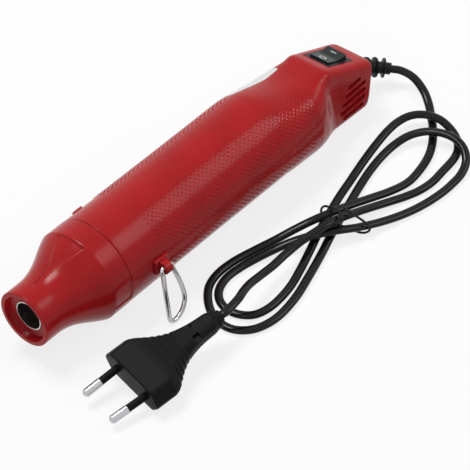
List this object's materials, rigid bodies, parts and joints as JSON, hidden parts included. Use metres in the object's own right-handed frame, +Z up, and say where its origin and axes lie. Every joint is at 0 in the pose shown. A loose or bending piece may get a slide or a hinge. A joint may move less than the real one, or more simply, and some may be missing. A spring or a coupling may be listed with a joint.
{
  "type": "embossing_heat_tool",
  "caption": "Slim red hot-air heat tool for crafts: flared nozzle, round barrel, rocker switch on a sloping tail, wire stand and a tied black mains lead",
  "frame": {"origin": "centre of the nozzle's rim face, on the barrel's axis", "axes": "+X from the nozzle to the tail along the barrel's axis, +Z up as the tool lies on a table, -Y to the side where the wire stand and the tied lead lie"},
  "size_m": [0.2444, 0.0968, 0.0454],
  "materials": {
    "red_plastic": "moulded gloss",
    "black_plastic": "moulded satin",
    "rocker_black": "moulded gloss",
    "cord_pvc": "extruded gloss",
    "relief_rubber": "moulded satin",
    "bright_steel": "drawn bright",
    "spun_steel": "spun, heat tinted",
    "pin_steel": "nickel plated",
    "mica": "cleaved sheet",
    "heating_wire": "oxidised",
    "white_nylon": "moulded natural",
    "dark_nylon": "moulded, glass filled",
    "holder_resin": "moulded matt",
    "motor_steel": "zinc plated",
    "circuit_board": "pressed laminate",
    "diode_black": "moulded",
    "brass_tags": "stamped",
    "lead_insulation": "extruded",
    "ceramic_white": "pressed",
    "tie_black": "coated wire"
  },
  "bodies": {
    "housing": {"nozzle_cap": "red_plastic", "body": "red_plastic", "outlet_tube": "spun_steel", "mica_sleeve": "mica", "heater_former": "mica", "heater_coil": "heating_wire", "thermal_cutout": "ceramic_white", "heater_holder": "holder_resin", "motor_mount": "white_nylon", "motor_can": "motor_steel", "motor_end_cap": "white_nylon", "rectifier_board": "circuit_board", "rectifier_diodes": "diode_black", "switch_case": "black_plastic", "switch_terminals": "brass_tags", "inner_leads": "lead_insulation", "cord_clamp": "white_nylon", "clamp_screws": "bright_steel", "cord_entry": "cord_pvc", "strain_relief": "relief_rubber", "cord_lead": "cord_pvc", "cord_hank": "cord_pvc", "cord_tail": "cord_pvc", "cord_tie": "tie_black", "plug_body": "black_plastic", "plug_sleeves": "black_plastic", "plug_pins": "pin_steel"},
    "rotor": {"fan": "dark_nylon", "motor_shaft": "bright_steel"},
    "switch_rocker": {"rocker": "rocker_black"},
    "stand": {"stand_wire": "bright_steel"}
  },
  "joints": [
    {"name": "fan_spin", "type": "hinge", "parent": "housing", "child": "rotor", "pos_m": [0.1035, 0, 0], "axis": [1, 0, 0], "continuous": true},
    {"name": "rocker_tilt", "type": "hinge", "parent": "housing", "child": "switch_rocker", "pos_m": [0.19901, 0.00116, 0.00828], "axis": [0, 0.9903, -0.1392], "range_deg": [0, 18]},
    {"name": "stand_swing", "type": "hinge", "parent": "housing", "child": "stand", "pos_m": [0.0625, -0.02554, 0.00179], "axis": [1, 0, 0], "range_deg": [-170, 28]}
  ]
}
